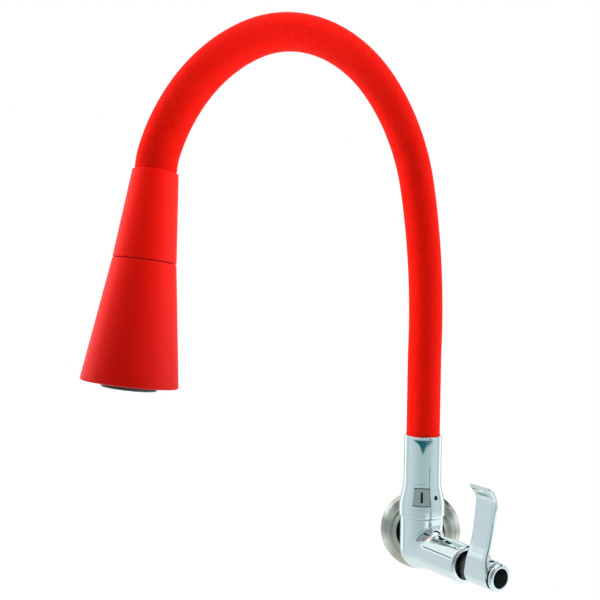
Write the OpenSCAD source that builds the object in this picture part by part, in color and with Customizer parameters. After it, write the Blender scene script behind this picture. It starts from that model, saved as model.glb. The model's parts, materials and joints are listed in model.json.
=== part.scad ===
// Wall-mounted kitchen tap with a flexible bending spout and a two-pattern spray head.
// Frame: origin on the inlet axis at the wall plane, +Z up, +Y into the wall.

/* [Wall inlet] */
// Distance from the wall plane to the axis of the upright column
wall_gap = 42; // [40:0.5:50]
// Outer radius of the wall rosette
rosette_r = 28.7; // [27:0.1:32]
// How far the rosette stands off the wall
rosette_h = 9; // [8:0.5:12]
// Radius of the neck that joins the column to the inlet
neck_r = 12; // [11.5:0.1:12.5]
// Crest radius of the half-inch male inlet thread
thread_r = 10.48; // [10.4:0.01:10.6]
// Length of the male inlet thread that enters the wall fitting
thread_len = 15; // [12:1:18]

/* [Column] */
// Radius of the cast column
column_r = 14.5; // [14:0.1:15.5]
// Height where the fixed column ends and the turning sleeve begins
parting_z = 22.6; // [21:0.2:23.6]
// Largest radius of the turning chrome sleeve, low on its bell
bulge_r = 15.5; // [15.3:0.1:16.5]
// Radius of the straight upper part of the chrome sleeve
tube_r = 12.7; // [12.6:0.1:13]
// Height of the top rim of the chrome sleeve
tube_top = 78; // [74:1:84]

/* [Valve arm] */
// Angle of the valve arm from the wall normal, towards +X
arm_turn = 40; // [30:1:45]
// Radius of the valve arm
arm_r = 12.4; // [12:0.1:13]
// Length of the valve arm from the column axis
arm_len = 45; // [44:0.5:48]
// Radius of the lever hub
hub_r = 9.2; // [8.8:0.1:9.6]
// Distance from the column axis to the near face of the lever hub
hub_at = 51.6; // [51:0.1:52.5]
// Length of the lever hub along the arm axis
hub_len = 19.4; // [19:0.1:20.5]
// Thickness of the cap ring beyond the groove
cap_len = 2.4; // [2.4:0.1:3.2]
// Radius of the plain index disc in the cap
index_r = 6.2; // [5.5:0.1:6.5]

/* [Lever] */
// Height of the lever tip above the arm axis
lever_h = 56; // [50:0.5:62]
// Width of the lever paddle at its tip
lever_w = 17.5; // [16:0.1:18]

/* [Flexible spout] */
// Angle of the spout plane from the wall normal, towards -X
spout_turn = 45; // [30:1:60]
// Outer radius of the silicone skin
skin_r = 11.3; // [11:0.1:11.6]
// Outer radius of the bendable metal gooseneck
core_r = 7.8; // [7:0.1:7.8]
// Outer radius of the inner water tube
tube_out_r = 5.6; // [5:0.1:5.7]
// Bore radius of the inner water tube
tube_bore_r = 4; // [3:0.1:4.2]

/* [Spray head] */
// Outer radius at the top of the fixed collar
collar_top_r = 12.4; // [12.3:0.1:13]
// Outer radius at the seam between collar and bell
seam_r = 17.1; // [16.8:0.1:18]
// Outer radius at the mouth of the bell
mouth_r = 26.2; // [25.5:0.1:28]
// Distance from the head's top to the seam
seam_at = 48; // [47.5:0.1:49]
// Length of the red head from its top to the bell's mouth
head_len = 114.4; // [112:0.2:118]
// How far the black spray face stands out of the bell's mouth
face_proud = 2.5; // [1.5:0.1:3.5]

/* [Hidden] */
$fn = 96;
// Stretches of the spout's centre line, from the gooseneck's foot: [length, turn in degrees].
// Sections and short bending stretches take turns: sections are entries 0, 2, 4 and so on.
SPOUT = [[78, 0], [6, -2.4], [107, 14.7], [6, 1.8], [66, 30.7], [6, 3.3], [102, 65.6],
         [6, 3.4], [91, 43.1], [8, 12], [18, 0]];
bend_count = (len(SPOUT) - 1) / 2;
last = len(SPOUT) - 1;
// Height of the gooseneck's foot, inside the chrome sleeve
spout_foot = 52;
// Length of bare core below the skin's start
skin_from = 10;
// Where the head's top lies on the last section, and how far the skin enters the head
head_on_last = 4;
skin_in_head = 6;
// Layer radii, from the outside in, with a thin air gap between the layers
layer_gap = 0.1;
skin_in_r = core_r + layer_gap;
core_in_r = tube_out_r + layer_gap;

// Working clearances: running fits, parts that pass each other, and a hairline between stretches
run_gap = 0.05;
part_gap = 0.3;
hairline = 0.02;

// Bore of the inlet and of the way to the valve seat
inlet_bore_r = 7;
seat_bore_r = 5;

// Valve seat and cartridge stations along the arm axis
seat_at = 8;
bore_r = 9.4;
barrel_r = 8.3;
seal_t = 2;
disc_r = 6.5;
disc_t = 2.5;
disc_port_at = 3.1;
spindle_r = 4;
spindle_seals = [30, 34];
spline_r = 3.5;
hex_at = arm_len - 4;
gland_end = hub_at - 1;
hub_end = hub_at + hub_len;
spline_end = hub_end - 9;
groove_w = 1.8;
cap_r = hub_r - 0.4;
plug_r = 7.95;
socket_deep = 7;
cap_at = hub_end + groove_w;
cap_end = cap_at + cap_len;

// Swivel socket in the column's top
socket_r = 9;
socket_floor = 9;
flange_at = 15;
flange_t = 2;
nut_r = 11.5;
shank_top = 50;
shank_seals = [11.2, 13.6];
shank_bore_r = 5;
screw_z = 37;
screw_r = 1.45;
// Half width of every seal groove
seal_half = 0.9;

// ---------- frames ----------

// Column axis frame: +Z up the column
module column_frame() {
    translate([0, -wall_gap, 0]) children();
}

// Valve arm frame: +Z out along the arm, +Y up, +X to the wall side
module arm_frame() {
    column_frame() rotate([0, 0, arm_turn]) rotate([90, 0, 0]) children();
}

// Spout plane frame: +X outwards in the spout plane, +Z up
module spout_frame() {
    translate([0, -wall_gap, spout_foot]) rotate([0, 0, -90 - spout_turn]) children();
}

// ---------- centre line of the spout ----------

// Radius of a stretch from its length and its turn
function stretch_r(p) = p[0] * 180 / (PI * p[1]);
// Position and heading [x, z, h] after a length u of stretch p, from state a
function along(a, p, u) =
    let (t = p[1] * u / p[0])
    p[1] == 0
        ? [a[0] + u * sin(a[2]), a[1] + u * cos(a[2]), a[2]]
        : let (r = stretch_r(p))
          [a[0] + r * (cos(a[2]) - cos(a[2] + t)),
           a[1] + r * (sin(a[2] + t) - sin(a[2])), a[2] + t];
// State at distance s along the centre line
function state(s, k = 0, a = [0, 0, 0]) =
    (k == len(SPOUT) - 1 || s <= SPOUT[k][0])
        ? along(a, SPOUT[k], s)
        : state(s - SPOUT[k][0], k + 1, along(a, SPOUT[k], SPOUT[k][0]));
// Distance at which stretch k starts
function start_of(k) = k == 0 ? 0 : start_of(k - 1) + SPOUT[k - 1][0];

// Children placed at distance s, with +Z along the line
module at_line(s) {
    a = state(s);
    spout_frame() translate([a[0], 0, a[1]]) rotate([0, a[2], 0]) children();
}

// Head frame: +Z down the head, from its top
module head_frame() {
    at_line(start_of(last) + head_on_last) children();
}

// Straight or curved tube from the local origin along +Z, bending towards +X
module bent_tube(length, turn, r_out, r_in) {
    if (turn == 0) {
        ring(r_out, r_in, 0, length);
    } else {
        r = abs(length * 180 / (PI * turn));
        mirror([turn < 0 ? 1 : 0, 0, 0]) translate([r, 0, 0]) rotate([90, 0, 0])
            rotate([0, 0, 180 - abs(turn)]) rotate_extrude(angle = abs(turn), $fn = 180)
                translate([r, 0]) difference() {
                    circle(r = r_out, $fn = 48);
                    circle(r = r_in, $fn = 48);
                }
    }
}

// Tube along stretch i of the centre line, from u0 to u1 of its length
module stretch_tube(i, u0, u1, r_out, r_in) {
    at_line(start_of(i) + u0)
        bent_tube(u1 - u0, SPOUT[i][1] * (u1 - u0) / SPOUT[i][0], r_out, r_in);
}

// Tube along the whole of section k, counted from 1, less a bare length at its start
module section_tube(k, r_out, r_in, bare = 0, to = undef) {
    i = 2 * (k - 1);
    stretch_tube(i, bare, is_undef(to) ? SPOUT[i][0] : to, r_out, r_in);
}

// ---------- small shapes ----------

// Hollow cylinder between two heights
module ring(r_out, r_in, z0, z1) {
    translate([0, 0, z0]) difference() {
        cylinder(r = r_out, h = z1 - z0);
        translate([0, 0, -1]) cylinder(r = r_in, h = z1 - z0 + 2);
    }
}

// Cylinder between two heights
module rod(r, z0, z1) {
    translate([0, 0, z0]) cylinder(r = r, h = z1 - z0);
}

// Round-section seal ring centred at height z
module o_ring(centre_r, wire_r, z) {
    translate([0, 0, z]) rotate_extrude() translate([centre_r, 0])
        circle(r = wire_r, $fn = 32);
}

// Solid of revolution from [radius, height] points
module turned(points) {
    rotate_extrude() polygon(points);
}

// Smooth step from 0 to 1
function ease(t) = (1 - cos(180 * t)) / 2;

// Catmull-Rom point between b and c
function spline_at(a, b, c, d, t) =
    0.5 * (2 * b + (c - a) * t + (2 * a - 5 * b + 4 * c - d) * t * t
           + (3 * b - a - 3 * c + d) * t * t * t);
// Smooth open curve through points, with n steps between neighbours
function smooth(p, n) = [
    for (i = [0:len(p) - 2], j = [0:n - 1])
        spline_at(p[max(i - 1, 0)], p[i], p[i + 1], p[min(i + 2, len(p) - 1)], j / n),
    p[len(p) - 1]];

// ---------- wall side ----------

// Pressed steel rosette that hides the hole in the wall
module escutcheon() {
    band_r = rosette_r - 6.7;
    inner_r = rosette_r - 10;
    well_r = rosette_r - 11.8;
    floor_h = 2;
    wall = 0.8;
    hole_r = neck_r + run_gap;
    h = rosette_h;
    front = [[rosette_r, 0], [rosette_r, 1.6], [rosette_r - 1.2, h - 5.8], [band_r + 0.6, h - 3.6],
             [band_r, h - 2.6], [inner_r + 0.8, h - 1.4], [inner_r, h], [well_r + 0.6, h],
             [well_r, h - 0.8], [well_r, floor_h], [hole_r, floor_h]];
    back = [[hole_r, floor_h - wall], [well_r + wall, floor_h - wall], [well_r + wall, h - 1.2],
            [inner_r - 0.5, h - 1.2], [inner_r + 0.1, h - 2.4], [band_r - 0.7, h - 3.6],
            [band_r, h - 4.6], [rosette_r - 1.8, h - 6.7], [rosette_r - 1, 1.2],
            [rosette_r - 1, 0]];
    color([0.62, 0.60, 0.56]) rotate([90, 0, 0]) turned(concat(front, back));
}

// Cast brass body: column, inlet neck and valve arm in one piece
module valve_body() {
    end_round = 2.4;
    riser_at = 10.4;
    riser_r = 2.6;
    arm_profile = concat([[0, 0], [arm_r, 0]],
        [for (a = [0:15:90]) [arm_r - end_round + end_round * cos(a),
                              arm_len - end_round + end_round * sin(a)]],
        [[0, arm_len]]);
    color([0.80, 0.84, 0.86]) difference() {
        union() {
            column_frame() rod(column_r, 0, parting_z);
            column_frame() sphere(r = column_r);
            arm_frame() turned(arm_profile);
            rotate([90, 0, 0]) rod(neck_r, 1, wall_gap);
            rotate([90, 0, 0]) rod(thread_r, -thread_len, 2);
        }
        // water way from the wall to the seat
        rotate([90, 0, 0]) rod(inlet_bore_r, -thread_len - 1, wall_gap + 2);
        arm_frame() rod(seat_bore_r, 0, seat_at + 1);
        // cartridge bore
        arm_frame() rod(bore_r, seat_at, arm_len + 1);
        // way up from the cartridge chamber to the swivel socket
        column_frame() rotate([0, 0, arm_turn]) translate([0, -riser_at, 3]) rod(riser_r, 0, 9.5);
        column_frame() rod(socket_r, socket_floor, parting_z + 1);
        column_frame() rod(nut_r, flange_at, parting_z + 1);
    }
}

// Threaded ring that keeps the swivel shank in the column
module gland_nut() {
    hex_r = 12.4;
    hex_foot = parting_z + 0.4;
    color([0.78, 0.63, 0.32]) column_frame() difference() {
        union() {
            rod(nut_r, flange_at + flange_t + 1, hex_foot);
            translate([0, 0, hex_foot]) cylinder(r = hex_r, h = 4, $fn = 6);
        }
        rod(socket_r - 0.3, 0, parting_z + 10);
    }
}

// ---------- cartridge ----------

// Brass barrel with side windows, thread, hexagon and gland
module cartridge_housing() {
    window_at = 19.5;
    window_r = 2.2;
    thread_at = 25;
    hex_end = hex_at + 5;
    gland_r = 7.6;
    chamber_r = 5.7;
    color([0.20, 0.20, 0.21]) arm_frame() difference() {
        union() {
            rod(barrel_r, seat_at + 1, thread_at + 1);
            rod(bore_r - run_gap, thread_at, hex_at);
            translate([0, 0, hex_at]) cylinder(r = bore_r - 0.3, h = hex_end - hex_at, $fn = 6);
            rod(gland_r, hex_end, gland_end);
        }
        rod(disc_r + run_gap, 0, seat_at + seal_t + 3 * disc_t);
        rod(chamber_r, seat_at, thread_at + 1);
        rod(spindle_r + run_gap, seat_at, gland_end + 1);
        // windows that let the water out sideways
        for (turn = [[0, 90, 0], [90, 0, 0]])
            translate([0, 0, window_at]) rotate(turn) rod(window_r, -barrel_r - 1, barrel_r + 1);
        // groove for the outer seal ring
        ring(bore_r + 1, bore_r - 1.6, hex_at - 3.2, hex_at - 1.2);
    }
}

// Rubber ring under the cartridge head
module cartridge_o_ring() {
    color([0.08, 0.08, 0.08]) arm_frame() o_ring(bore_r - 0.8, 0.75, hex_at - 2.2);
}

// Rubber ring that seals the cartridge on its seat
module seat_seal() {
    color([0.08, 0.08, 0.08]) arm_frame() ring(disc_r, seat_bore_r, seat_at, seat_at + seal_t);
}

// Disc of hard ceramic with two opposite openings
module port_disc(z0, r) {
    difference() {
        rod(r, z0, z0 + disc_t);
        for (side = [-1, 1])
            translate([side * disc_port_at, 0, 0]) rod(1.9, z0 - 1, z0 + disc_t + 1);
    }
}

// Lower disc, held still in the housing
module fixed_disc() {
    color([0.93, 0.92, 0.88]) arm_frame() port_disc(seat_at + seal_t, disc_r);
}

// Upper disc, turned by the spindle
module moving_disc() {
    color([0.90, 0.89, 0.86]) arm_frame() rotate([0, 0, 90])
        port_disc(seat_at + seal_t + disc_t + hairline, disc_r - 0.1);
}

// Brass spindle with foot, seal grooves, clip groove and splined end
module spindle() {
    foot_at = seat_at + seal_t + 2 * disc_t + hairline;
    foot_r = 5.5;
    color([0.78, 0.63, 0.32]) arm_frame() difference() {
        union() {
            rod(foot_r, foot_at, foot_at + 2.4);
            rod(spindle_r, foot_at + 2, hub_at);
            rod(spline_r, hub_at - 1, spline_end);
        }
        for (z = spindle_seals)
            ring(spindle_r + 1, spindle_r - 1.2, z - seal_half, z + seal_half);
        ring(spindle_r + 1, spindle_r - 0.8, gland_end + 0.1, hub_at - 0.1);
        rod(1.95, spline_end - 9, spline_end + 1);
    }
}

// Two seal rings on the spindle
module spindle_o_rings() {
    color([0.08, 0.08, 0.08]) arm_frame()
        for (z = spindle_seals) o_ring(spindle_r - 0.6, 0.56, z);
}

// Split spring clip that keeps the spindle in its housing
module spindle_clip() {
    color([0.5, 0.5, 0.52]) arm_frame() difference() {
        ring(spindle_r + 1.6, spindle_r - 0.8, gland_end + 0.15, hub_at - 0.15);
        translate([0, 4.5, hub_at]) cube([2.4, 7, 4], center = true);
    }
}

// ---------- lever ----------

// Side outline of the paddle, [towards the wall side, up], for a tip height of 56
FRONT = [[-hub_r, 0], [-8.9, 4], [-7.8, 9], [-6, 14], [-4.3, 19], [-2.9, 25], [-1.5, 33],
         [-0.4, 40], [0.1, 44.5], [-0.7, 47.8], [-2.9, 51], [-5.6, 53.6]];
BACK = [[-5.9, 56], [-2.4, 54.5], [-0.2, 52], [1.4, 49], [2.5, 45], [2.5, 40.5], [1.8, 35],
        [0.6, 28.5], [-1, 21.5], [-2.3, 15], [-2.2, 12.4], [-1, 10.4], [1.2, 8.6]];
// Half width of the paddle against height, for a tip width of 16.7
HALF_W = [[8.35, 0], [8.3, 6], [7.95, 13], [7.95, 22], [8.1, 32], [8.35, 41], [8.35, 54]];

// Lever: hub with its socket and the upright paddle, whose tip tilts forward
module lever() {
    near_step = 0.1;
    paddle_mid = hub_at + near_step + lever_w / 2;
    tip_round = 1.2;
    sy = lever_h / 56;
    sx = lever_w / 16.7;
    side = concat([for (p = smooth(FRONT, 3)) [p[0], p[1] * sy]],
                  [for (p = smooth(BACK, 3)) [p[0], p[1] * sy]], [[0, 0]]);
    half = [for (p = smooth(HALF_W, 3)) [p[0] * sx, p[1] * sy]];
    tip = half[len(half) - 1];
    corner = [for (a = [0:15:90]) [tip[0] - tip_round + tip_round * cos(a),
                                   lever_h + 0.2 - tip_round + tip_round * sin(a)]];
    edge = concat(half, corner);
    outline = concat(edge, [for (i = [len(edge) - 1:-1:0]) [-edge[i][0], edge[i][1]]]);
    color([0.80, 0.84, 0.86]) arm_frame() difference() {
        union() {
            rod(hub_r, hub_at, hub_end);
            intersection() {
                translate([0, 0, hub_at]) linear_extrude(hub_len) polygon(side);
                translate([-20, 0, paddle_mid]) rotate([0, 90, 0])
                    linear_extrude(40) polygon(outline);
            }
        }
        rod(spline_r, hub_at - 1, spline_end + 0.3);
        rod(2.1, spline_end, hub_end);
        rod(plug_r + run_gap, hub_end - socket_deep, hub_end + 1);
    }
}

// Screw that holds the lever on the spindle
module lever_screw() {
    head_at = hub_end - socket_deep;
    color([0.6, 0.6, 0.62]) arm_frame() difference() {
        union() {
            rod(1.9, spline_end - 8, head_at + 0.5);
            rod(3.8, head_at, head_at + 2.6);
        }
        translate([0, 0, head_at + 0.8]) cylinder(r = 1.5, h = 4, $fn = 6);
    }
}

// Chrome cap ring with its plug in the hub
module handle_cap() {
    soft = 2.1;
    plug_at = hub_end - 4;
    color([0.80, 0.84, 0.86]) arm_frame() difference() {
        turned(concat([[0, plug_at], [plug_r, plug_at], [plug_r, cap_at],
                       [cap_r - 0.3, cap_at]],
            [for (a = [0:15:90]) [cap_r - soft + soft * cos(a),
                                  cap_end - soft + soft * sin(a)]],
            [[0, cap_end]]));
        rod(index_r, cap_end - 1, cap_end + 1);
        rod(plug_r - 1.2, plug_at - 1, plug_at + 2.5);
    }
}

// Plain black disc in the cap
module index_disc() {
    color([0.05, 0.05, 0.055]) arm_frame()
        turned([[0, cap_end - 1], [index_r, cap_end - 1], [index_r, cap_end - 0.1],
                [index_r - 0.3, cap_end + 0.2], [0, cap_end + 0.3]]);
}

// ---------- swivel at the foot of the spout ----------

// Hollow brass shank that turns in the column
module spout_shank() {
    color([0.78, 0.63, 0.32]) column_frame() difference() {
        union() {
            rod(socket_r - run_gap, socket_floor + 0.5, flange_at + 1);
            rod(nut_r - 0.6, flange_at + 0.05, flange_at + flange_t);
            rod(socket_r - 0.5, flange_at + 1, shank_top);
        }
        rod(shank_bore_r, 0, shank_top + 1);
        for (z = shank_seals)
            ring(socket_r + 1, socket_r - 1.6, z - seal_half, z + seal_half);
        // flat that takes the point of the grub screw
        rotate([0, 0, arm_turn]) translate([0, -socket_r + 0.5, screw_z])
            cube([6, 1, 6], center = true);
    }
}

// Two seal rings on the shank
module shank_o_rings() {
    color([0.08, 0.08, 0.08]) column_frame()
        for (z = shank_seals) o_ring(socket_r - 0.8, 0.74, z);
}

// Slippery washer between the shank's flange and the gland nut
module swivel_washer() {
    color([0.94, 0.94, 0.92]) column_frame()
        ring(nut_r - 0.6, socket_r - 0.4, flange_at + flange_t, flange_at + flange_t + 0.9);
}

// Chrome sleeve with a bell at its foot
module spout_sleeve() {
    foot = parting_z + part_gap;
    bell_from = 27.5;
    bell_to = 45.5;
    wall = 2;
    rim_gap = 0.6;
    rim_deep = 3;
    step_z = spout_foot + skin_from - 0.5;
    outside = concat(
        [[bulge_r - 0.7, foot], [bulge_r, foot + 1.2]],
        [for (i = [0:10]) [bulge_r + (tube_r - bulge_r) * ease(i / 10),
                           bell_from + (bell_to - bell_from) * i / 10]],
        [[tube_r, tube_top - 0.3], [tube_r - 0.25, tube_top]]);
    inside = [[skin_r + rim_gap, tube_top], [skin_r + rim_gap, tube_top - rim_deep],
              [skin_r + run_gap, tube_top - rim_deep], [skin_r + run_gap, step_z],
              [tube_r - 1.2, step_z], [tube_r - 1.2, 40],
              [bulge_r - wall, 31], [bulge_r - wall, foot]];
    color([0.80, 0.84, 0.86]) column_frame() difference() {
        turned(concat(outside, inside));
        rotate([0, 0, arm_turn]) translate([0, 0, screw_z]) rotate([90, 0, 0])
            rod(screw_r + run_gap, 5, bulge_r + 2);
    }
}

// Socket-headed grub screw that locks the sleeve to the shank
module spout_set_screw() {
    screw_end = 13.3;
    color([0.12, 0.12, 0.13]) column_frame() rotate([0, 0, arm_turn])
        translate([0, 0, screw_z]) rotate([90, 0, 0]) difference() {
            rod(screw_r, socket_r - 1, screw_end);
            translate([0, 0, screw_end - 1.5]) cylinder(r = 0.85, h = 3, $fn = 6);
        }
}

// Brass fitting that joins the gooseneck's foot to the shank
module neck_base_fitting() {
    foot = 40;
    color([0.78, 0.63, 0.32]) column_frame() difference() {
        rod(tube_r - 1.7, foot, spout_foot + skin_from - 0.8);
        rod(socket_r - 0.5, foot - 1, shank_top);
        rod(shank_bore_r - 0.4, foot - 1, spout_foot + 1);
        rod(core_r, spout_foot, spout_foot + skin_from + 1);
    }
}

// ---------- gooseneck ----------

// Section k of the red silicone skin
module neck_skin(k) {
    color([0.90, 0.05, 0.05])
        section_tube(k, skin_r, skin_in_r, k == 1 ? skin_from : 0,
                     k == bend_count + 1 ? head_on_last + skin_in_head : undef);
}

// Section k of the bendable metal core
module neck_core(k) {
    color([0.62, 0.63, 0.65]) section_tube(k, core_r, core_in_r);
}

// Section k of the inner water tube
module neck_tube(k) {
    color([0.92, 0.92, 0.90]) section_tube(k, tube_out_r, tube_bore_r);
}

// Bending stretch k, all layers together, a hairline clear of the section below it
module neck_flex(k) {
    color([0.85, 0.05, 0.05])
        stretch_tube(2 * k - 1, hairline, SPOUT[2 * k - 1][0], skin_r, tube_bore_r);
}

// ---------- spray head, fixed part ----------

// Stations down the head from its top
core_to = SPOUT[last][0] - head_on_last;
fit_low = skin_in_head + 0.8;
fit_neck = 16;
fit_end = 26;
fit_plug_r = 8.3;
core_sleeve_r = 11.2;
core_flange = 41;
core_flange_end = 46.4;
insert_top = 47;
journal_seals = [50.5, 57.5];
clip_at = 62.2;
journal_r = 9;
core_end = 64;
// Offset of the water ports in the core's end and in what turns against it
port_at = 4.4;
// Detent: its circle, its ball, its spring's pocket and how far the bell turns
track_r = 11.6;
ball_r = 1.5;
ball_at = core_flange_end - 0.4;
pocket_floor = core_flange + 0.8;
bell_turn = 60;
// Outlet: underside of the spray plate, bore of its middle, and the face
plate_at = head_len - 4;
jet_r = 8.4;
face_at = head_len + face_proud;

// Crimped fitting on the gooseneck's end
module neck_end_fitting() {
    color([0.78, 0.63, 0.32]) head_frame() difference() {
        union() {
            rod(10.6, fit_low, fit_neck);
            rod(fit_plug_r, fit_neck, fit_end);
        }
        rod(core_r, 0, core_to);
        rod(tube_bore_r, 0, fit_end + 1);
    }
}

// Rubber washer between fitting and head core
module head_washer() {
    color([0.08, 0.08, 0.08]) head_frame() ring(fit_plug_r - 0.1, 4.2, fit_end, fit_end + 1.5);
}

// Plastic core of the head: socket, flange and the journal the bell turns on
module head_core() {
    color([0.16, 0.16, 0.17]) head_frame() difference() {
        union() {
            rod(core_sleeve_r, fit_neck + 0.5, core_flange + 1);
            rod(13.8, core_flange, core_flange_end);
            rod(journal_r, core_flange, core_end);
        }
        rod(fit_plug_r, 0, fit_end + 1.5);
        rod(4.2, 0, core_end - 4);
        // outlet port in the core's end face
        translate([port_at, 0, core_end - 12]) cylinder(r = 2.4, h = 14);
        // clip groove and seal grooves
        ring(journal_r + 1, journal_r - 1.2, clip_at, clip_at + 1.1);
        for (z = journal_seals)
            ring(journal_r + 1, journal_r - 1.5, z - seal_half, z + seal_half);
        // pocket of the detent
        translate([track_r, 0, pocket_floor]) cylinder(r = ball_r + run_gap, h = 8);
    }
}

// Red collar shell, with the web that holds it on the core
module head_collar() {
    wall = 2;
    slope = (seam_r - collar_top_r) / seam_at;
    web_at = 36;
    web_end = web_at + 4;
    web_r = core_sleeve_r + run_gap;
    shell_in = collar_top_r + slope * web_at - wall;
    color([0.90, 0.05, 0.05]) head_frame()
        turned([[collar_top_r - 0.5, 0], [collar_top_r, 0.6], [seam_r - 0.25, seam_at - 0.4],
                [seam_r - 0.6, seam_at - 0.1], [seam_r - wall, seam_at - 0.1],
                [shell_in + 0.4, web_end], [web_r, web_end], [web_r, web_at],
                [shell_in, web_at], [skin_r + part_gap, 3], [skin_r + 0.15, 0]]);
}

// Steel ball that drops into the end pockets of the track
module detent_ball() {
    color([0.75, 0.76, 0.78]) head_frame()
        translate([track_r, 0, ball_at]) sphere(r = ball_r, $fn = 48);
}

// Small spring behind the ball
module detent_spring() {
    color([0.6, 0.6, 0.62]) head_frame() translate([track_r, 0, 0])
        ring(1.3, 0.7, pocket_floor + run_gap, ball_at - ball_r + 0.1);
}

// ---------- spray head, turning part ----------

bell_wall = 2.2;
function bell_r(w) = seam_r + (mouth_r - seam_r) * (w - seam_at) / (head_len - seam_at);

// Red bell shell
module spray_bell() {
    top = seam_at + part_gap;
    color([0.90, 0.05, 0.05]) head_frame()
        turned([[seam_r - 0.5, top], [seam_r, top + 0.5], [bell_r(head_len - 1.2), head_len - 1.2],
                [mouth_r - 0.4, head_len - 0.3], [mouth_r - 1.2, head_len],
                [bell_r(head_len) - bell_wall, head_len - 0.2],
                [bell_r(plate_at) - bell_wall, plate_at],
                [bell_r(top + 3) - bell_wall, top + 3], [bell_r(top) - bell_wall, top]]);
}

// Black carrier: runs on the journal, splits the water and fills the bell
module bell_insert() {
    floor_at = 67.5;
    floor_end = floor_at + 2.5;
    disc_room_r = 10.9;
    web_at = 52;
    color([0.16, 0.16, 0.17]) head_frame() difference() {
        union() {
            rod(12.4, insert_top, floor_end);
            rod(bell_r(web_at) - bell_wall - 0.1, web_at, web_at + 2);
            rod(jet_r + 1.5, floor_at, plate_at);
        }
        rod(journal_r + run_gap, 0, clip_at - 0.2);
        rod(disc_room_r, clip_at - 0.3, floor_at);
        // way into the middle tube, and three ways to the spray ring
        translate([port_at, 0, 60]) cylinder(r = 2.4, h = 12);
        for (a = [-90, -60, -30]) rotate([0, 0, a]) translate([disc_room_r, 0, 60])
            cylinder(r = 1.1, h = 12);
        rod(jet_r + run_gap, floor_end, plate_at + 1);
        // track of the detent ball, with a wider pocket at each end
        rotate([0, 0, -bell_turn - 1]) rotate_extrude(angle = bell_turn + 2)
            translate([track_r, insert_top]) circle(r = 1.25, $fn = 32);
        for (a = [0, -bell_turn]) rotate([0, 0, a]) translate([track_r, 0, insert_top - 0.1])
            sphere(r = ball_r + 0.12, $fn = 48);
    }
}

// Circlip that keeps the bell on the journal
module bell_clip() {
    color([0.5, 0.5, 0.52]) head_frame() difference() {
        ring(journal_r + 1.4, journal_r - 1.1, clip_at + 0.05, clip_at + 1.05);
        translate([-journal_r, 0, clip_at]) cube([8, 3, 4], center = true);
    }
}

// Two seal rings between journal and bell carrier
module bell_o_rings() {
    color([0.08, 0.08, 0.08]) head_frame()
        for (z = journal_seals) o_ring(journal_r - 0.77, 0.65, z);
}

// Disc that sends the water to the middle jet or to the spray ring
module selector_disc() {
    color([0.92, 0.92, 0.90]) head_frame() difference() {
        rod(10.7, core_end + 0.1, core_end + 3.3);
        for (a = [0, -bell_turn]) rotate([0, 0, a]) translate([port_at, 0, core_end - 1])
            cylinder(r = 2, h = 6);
        rotate([0, 0, -bell_turn]) translate([port_at, -1.2, core_end + 1.9]) cube([8, 2.4, 3]);
    }
}

// Black spray plate: a ring of jets in the sunk outer band and one in the raised middle
module nozzle_plate() {
    rim_r = bell_r(plate_at) - bell_wall - 0.1;
    boss_r = 15;
    band_at = head_len - 1.5;
    soft = 1.2;
    hole_r = 0.7;
    color([0.05, 0.05, 0.055]) head_frame() difference() {
        turned(concat([[jet_r + run_gap, plate_at], [rim_r, plate_at], [rim_r, band_at],
                       [boss_r + 0.6, band_at], [boss_r, band_at + 0.9]],
            [for (a = [0:22.5:90]) [boss_r - soft + soft * cos(a),
                                    face_at - soft + soft * sin(a)]],
            [[jet_r + run_gap, face_at]]));
        for (jets = [[19.2, 20], [11.8, 14]], i = [0:jets[1] - 1])
            rotate([0, 0, i * 360 / jets[1]]) translate([jets[0], 0, plate_at - 1])
                cylinder(r = hole_r, h = face_at - plate_at + 2, $fn = 16);
    }
}

// Round housing of the aerator in the middle of the face
module aerator_housing() {
    color([0.10, 0.10, 0.11]) head_frame() difference() {
        rod(jet_r, face_at - 9, face_at + 0.4);
        rod(jet_r - 1.3, face_at - 7, face_at + 1);
        rod(jet_r - 2.6, face_at - 10, face_at);
    }
}

// Fine steel screens in the aerator
module aerator_screens() {
    color([0.70, 0.71, 0.73]) head_frame()
        for (depth = [6.6, 4.4, 2.2])
            rod(jet_r - 1.35, face_at - depth, face_at - depth + 0.5);
}

// ---------- the assembly ----------

escutcheon();
valve_body();
gland_nut();
cartridge_housing();
cartridge_o_ring();
seat_seal();
fixed_disc();
moving_disc();
spindle();
spindle_o_rings();
spindle_clip();
lever();
lever_screw();
handle_cap();
index_disc();
spout_shank();
shank_o_rings();
swivel_washer();
spout_sleeve();
spout_set_screw();
neck_base_fitting();
for (k = [1:bend_count + 1]) {
    neck_skin(k);
    neck_core(k);
    neck_tube(k);
}
for (k = [1:bend_count])
    neck_flex(k);
neck_end_fitting();
head_washer();
head_core();
head_collar();
detent_ball();
detent_spring();
spray_bell();
bell_insert();
bell_clip();
bell_o_rings();
selector_disc();
nozzle_plate();
aerator_housing();
aerator_screens();
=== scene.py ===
"""Looks of a wall-mounted kitchen tap with a red bending spout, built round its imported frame."""
import json
import math

import bmesh
import bpy
from mathutils import Matrix, Vector

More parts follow.
